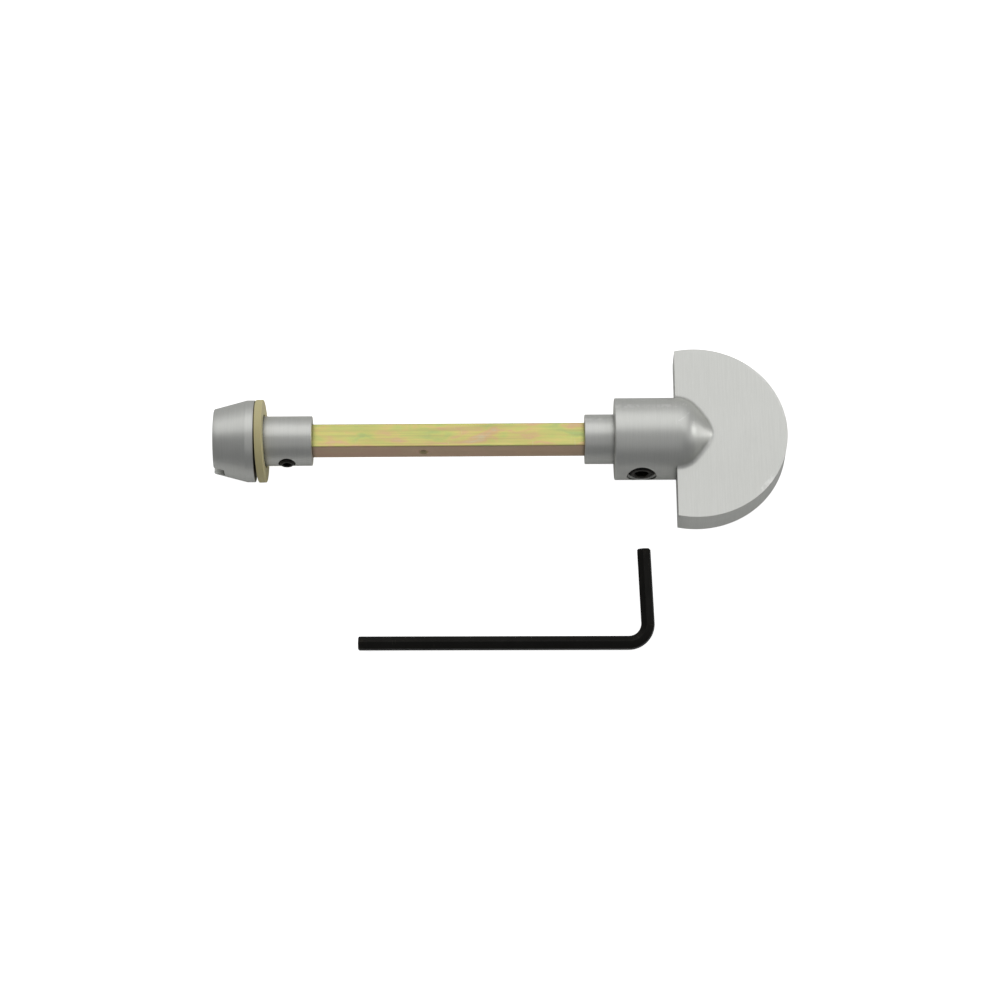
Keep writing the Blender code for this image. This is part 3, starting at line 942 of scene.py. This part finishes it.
def release_knob(material):
    """The tapered head and the neck, with the coin slot, square bore and small tapped hole."""
    front, end = KNOB_LOW.x, KNOB_HIGH.x
    back = front + HEAD_LENGTH
    profile = softened(
        [
            (front, 0, 0),
            (front, HEAD_FRONT_RADIUS, HEAD_FRONT_EDGE),
            (front + HEAD_CONE, HEAD_BACK_RADIUS, HEAD_CONE_EDGE),
            (back, HEAD_BACK_RADIUS, HEAD_BACK_EDGE),
            (back, RELEASE_NECK_RADIUS, NECK_ROOT),
            (end, RELEASE_NECK_RADIUS, NECK_EDGE),
            (end, 0, 0),
        ]
    )
    filled = [profile[0]]
    for (x0, r0), (x1, r1) in zip(profile, profile[1:]):
        if abs(x1 - x0) > RING_PITCH:
            slope = (r1 - r0) / (x1 - x0)
            filled += [(x, r0 + slope * (x - x0)) for x in spaced(x0, x1, RING_PITCH)]
        filled.append((x1, r1))
    mesh = sound_mesh("release_knob", *turned_rings(filled, even_angles()))
    knob = new_object("release_knob", mesh, LEANING)
    bore = bore_cutter(end - RELEASE_BORE_DEPTH, end + CUTTER_CLEAR)
    hole = screw_hole(RELEASE_SCREW_X, RELEASE_SCREW, RELEASE_NECK_RADIUS)
    carve(knob, bore, hole, slot_cutter())
    return finish_piece(
        knob, "coin_release", material, "release_knob", "release_knob"
    )


# ---------------------------------------------------------------- spindle


def bar_section():
    """(y, z) round the bar, from the screw side's lower edge, with fine steps up that side."""
    inner = BAR_SIDE / 2 - BAR_EDGE
    section = []
    for quarter in range(4):
        side = []
        for i in range(BAR_EDGE_STEPS + 1):
            angle = math.radians(270 - 90 * i / BAR_EDGE_STEPS)
            side.append((BAR_EDGE * math.cos(angle) - inner, BAR_EDGE * math.sin(angle) - inner))
        pitch = DIMPLE_PITCH if quarter == 0 else BAR_FACE_PITCH
        side += [(-BAR_SIDE / 2, z) for z in spaced(-inner, inner, pitch)]
        for _ in range(quarter):
            side = [(z, -y) for y, z in side]
        section += side
    return section


def punched(x, z):
    """How far the screw side's face is pushed in at this place by the punched dimple."""
    away = math.hypot(x - DIMPLE_X, z)
    if away > DIMPLE_REACH:
        return 0.0
    pit = DIMPLE_DEPTH * max(0.0, 1 - away / DIMPLE_RADIUS)
    lip = DIMPLE_LIP * math.exp(-(((away - 1.25 * DIMPLE_RADIUS) / (0.3 * DIMPLE_RADIUS)) ** 2))
    return pit - lip


def spindle(material):
    """The square bar with its rounded edges and its dimple."""
    section = bar_section()
    low, high = BAR_LOW.x, BAR_HIGH.x
    first, last = low + BAR_END_EDGE, high - BAR_END_EDGE
    near, far = DIMPLE_X - DIMPLE_REACH, DIMPLE_X + DIMPLE_REACH
    stations = [low, first] + spaced(first, near, BAR_PITCH)
    stations += [near] + spaced(near, far, DIMPLE_PITCH) + [far]
    stations += spaced(far, last, BAR_PITCH) + [last, high]
    screw_face = -BAR_SIDE / 2 + 0.0001 * MM
    points = []
    for x in stations:
        shrink = 1 - BAR_END_EDGE / (BAR_SIDE / 2) if x in (low, high) else 1
        for y, z in section:
            push = punched(x, z) if y < screw_face else 0.0
            points.append(Vector((x, y * shrink + push, z * shrink)))
    mesh = sound_mesh("spindle", points, tube_faces(len(stations), len(section)))
    bar = new_object("spindle", mesh, LEANING)
    return finish_piece(
        bar, "drawn_spindle", material, "spindle", "spindle", sharp=40
    )


# ---------------------------------------------------------------- glide washer and hex key


def glide_washer(material):
    """The loose ring, about its own joint's axis."""
    joint = JOINTS["washer_turn"]
    turn = Vector(joint["axis"]).to_track_quat("X", "Z").to_matrix().to_4x4()
    place = Matrix.Translation(joint["pos_m"]) @ turn
    half, edge = WASHER_HALF, WASHER_EDGE
    ring = softened(
        [
            (-half, WASHER_BORE, edge / 2),
            (-half, WASHER_RADIUS, edge),
            (half, WASHER_RADIUS, edge),
            (half, WASHER_BORE, edge / 2),
        ],
        steps=4,
    )
    mesh = sound_mesh("glide_washer", *turned_rings(ring + ring[:1], even_angles()))
    washer = new_object("glide_washer", mesh, place)
    return finish_piece(
        washer, "nylon_glide", material, "glide_washer", "glide_washer"
    )


def hexagon_section():
    """(sideways, up) round the key's section, its edges rounded, rolled outward."""
    centre = KEY_CORNER - KEY_EDGE * 2 / math.sqrt(3)
    section = []
    for corner in range(6):
        middle = math.pi / 2 - KEY_ROLL + math.pi / 6 + corner * math.pi / 3
        across, up = centre * math.cos(middle), centre * math.sin(middle)
        for i in range(KEY_EDGE_STEPS + 1):
            angle = middle + math.radians(-30 + 60 * i / KEY_EDGE_STEPS)
            section.append((across + KEY_EDGE * math.cos(angle), up + KEY_EDGE * math.sin(angle)))
    return section


def key_path(start, heading):
    """(point, direction, scale) along the key, from the long arm's end to the short arm's."""
    half_width = KEY_CORNER * math.cos(KEY_ROLL)
    tangent = KEY_BEND_RADIUS * math.tan(KEY_BEND / 2)
    long_run = KEY_LONG - half_width - tangent
    short_run = KEY_SHORT - half_width - tangent
    side = Vector((-heading.y, heading.x, 0))
    small = 1 - KEY_TIP / KEY_CORNER
    bend = start + heading * long_run
    path = [(start, heading, small), (start + heading * KEY_TIP, heading, 1)]
    path += [(start + heading * d, heading, 1) for d in spaced(KEY_TIP, long_run, KEY_PITCH)]
    for i in range(KEY_BEND_STEPS + 1):
        angle = KEY_BEND * i / KEY_BEND_STEPS
        along = heading * math.cos(angle) + side * math.sin(angle)
        place = bend + KEY_BEND_RADIUS * (heading * math.sin(angle) + side * (1 - math.cos(angle)))
        path.append((place, along, 1))
    straight = short_run - KEY_TIP
    path += [(place + along * d, along, 1) for d in spaced(0, straight, KEY_PITCH)]
    path += [(place + along * straight, along, 1), (place + along * short_run, along, small)]
    return path


def hex_key(material):
    """The bent key on the floor, from the tip of its long arm."""
    tip = MOUNTS["key_tip"]
    section = hexagon_section()
    path = key_path(Vector(tip["pos_m"]), -Vector(tip["axis"]))
    points = []
    for place, along, scale in path:
        right = Vector((along.y, -along.x, 0))
        points += [place + scale * (right * s + Vector((0, 0, u))) for s, u in section]
    mesh = sound_mesh("hex_key", points, tube_faces(len(path), len(section)))
    key = new_object("hex_key", mesh, Matrix.Identity(4))
    return finish_piece(key, "bent_hex_key", material, "hex_key", "hex_key")


aluminium = satin_aluminium()
screw_black = black_oxide("black_oxide_screw", (0.035, 0.034, 0.032), 0.34, 0.5)
thumb_turn(aluminium)
release_knob(aluminium)
spindle(yellow_zinc())
glide_washer(beige_nylon())
hex_key(black_oxide("black_oxide_key", (0.021, 0.0205, 0.019), 0.40, 0.2))
grub_screw("turn_grub_screw", TURN_SCREW_X, TURN_SCREW, screw_black)
grub_screw("release_grub_screw", RELEASE_SCREW_X, RELEASE_SCREW, screw_black)


# ---------------------------------------------------------------- floor, light and camera

FLOOR_HALF = 3.0
FLOOR_DROP = 0.02 * MM
FLOOR_GLOW = 0.85
# Degrees back and right of overhead, then distance, width and depth in metres, and radiance
PANELS = {
    "back_panel": (42, 0, 1.3, 2.6, 1.15, 0.8),
    "rear_wall": (80, 0, 1.6, 3.0, 1.1, 0.45),
    "overhead_panel": (-12, 0, 1.5, 1.6, 1.3, 0.2),
    "right_panel": (10, 55, 1.4, 0.8, 0.9, 0.3),
    "right_strip": (62, 73, 1.2, 0.35, 0.4, 3.2),
}
ROOM_LIGHT = 0.22
VIEW_ELEVATION = math.radians(82.5)
VIEW_ROLL = math.radians(0.35)
VIEW_DISTANCE = 0.665
VIEW_TARGET = Vector((-0.000215, 0.0005, 0))
LENS = 121.37  # mm, on a sensor 36 mm wide
SENSOR = 36


def pale_floor():
    """A large plain white sheet, bright enough to the eye that hardly a shadow shows on it."""
    mesh = bpy.data.meshes.new("floor")
    shape = bmesh.new()
    bmesh.ops.create_grid(shape, x_segments=1, y_segments=1, size=FLOOR_HALF)
    shape.to_mesh(mesh)
    shape.free()
    floor = new_object("floor", mesh, Matrix.Translation((0, 0, -FLOOR_DROP)))
    material = bpy.data.materials.new("pale_floor")
    material.use_nodes = True
    tree = material.node_tree
    shader = tree.nodes["Principled BSDF"]
    shader.inputs["Base Color"].default_value = (0.93, 0.93, 0.92, 1)
    shader.inputs["Roughness"].default_value = 0.9
    shader.inputs["Specular IOR Level"].default_value = 0.0
    seen = add_node(tree, "ShaderNodeLightPath").outputs["Is Camera Ray"]
    glow = mix_colours(tree, seen, (0, 0, 0, 1), (FLOOR_GLOW, FLOOR_GLOW, FLOOR_GLOW, 1))
    tree.links.new(glow, shader.inputs["Emission Color"])
    shader.inputs["Emission Strength"].default_value = 1.0
    floor.data.materials.append(material)


def softbox(name, tilt_back, tilt_right, distance, width, depth, radiance):
    """A soft panel facing the object, leaned back and right from straight overhead."""
    light = bpy.data.lights.new(name, "AREA")
    light.shape = "RECTANGLE"
    light.size, light.size_y = width, depth
    light.energy = radiance * math.pi * width * depth
    obj = bpy.data.objects.new(name, light)
    obj.visible_camera = False
    bpy.context.scene.collection.objects.link(obj)
    away = Vector(
        (
            math.sin(tilt_right),
            math.sin(tilt_back) * math.cos(tilt_right),
            math.cos(tilt_back) * math.cos(tilt_right),
        )
    )
    obj.location = away * distance
    obj.rotation_mode = "QUATERNION"
    obj.rotation_quaternion = away.to_track_quat("Z", "Y")


def studio():
    """The panels and the even light of the room."""
    for name, (tilt_back, tilt_right, *rest) in PANELS.items():
        softbox(name, math.radians(tilt_back), math.radians(tilt_right), *rest)
    world = bpy.data.worlds.new("studio")
    bpy.context.scene.world = world
    world.use_nodes = True
    background = world.node_tree.nodes["Background"]
    background.inputs["Color"].default_value = (0.97, 0.98, 1.0, 1)
    background.inputs["Strength"].default_value = ROOM_LIGHT


def camera():
    """The view from nearly straight above, a little from the front."""
    back = Vector((0, -math.cos(VIEW_ELEVATION), math.sin(VIEW_ELEVATION)))
    data = bpy.data.cameras.new("camera")
    data.sensor_width = SENSOR
    data.lens = LENS
    obj = bpy.data.objects.new("camera", data)
    bpy.context.scene.collection.objects.link(obj)
    obj.matrix_world = (
        Matrix.Translation(VIEW_TARGET + back * VIEW_DISTANCE)
        @ back.to_track_quat("Z", "Y").to_matrix().to_4x4()
        @ Matrix.Rotation(-VIEW_ROLL, 4, "Z")
    )
    bpy.context.scene.camera = obj


pale_floor()
studio()
camera()
bpy.context.scene.view_settings.view_transform = "Standard"
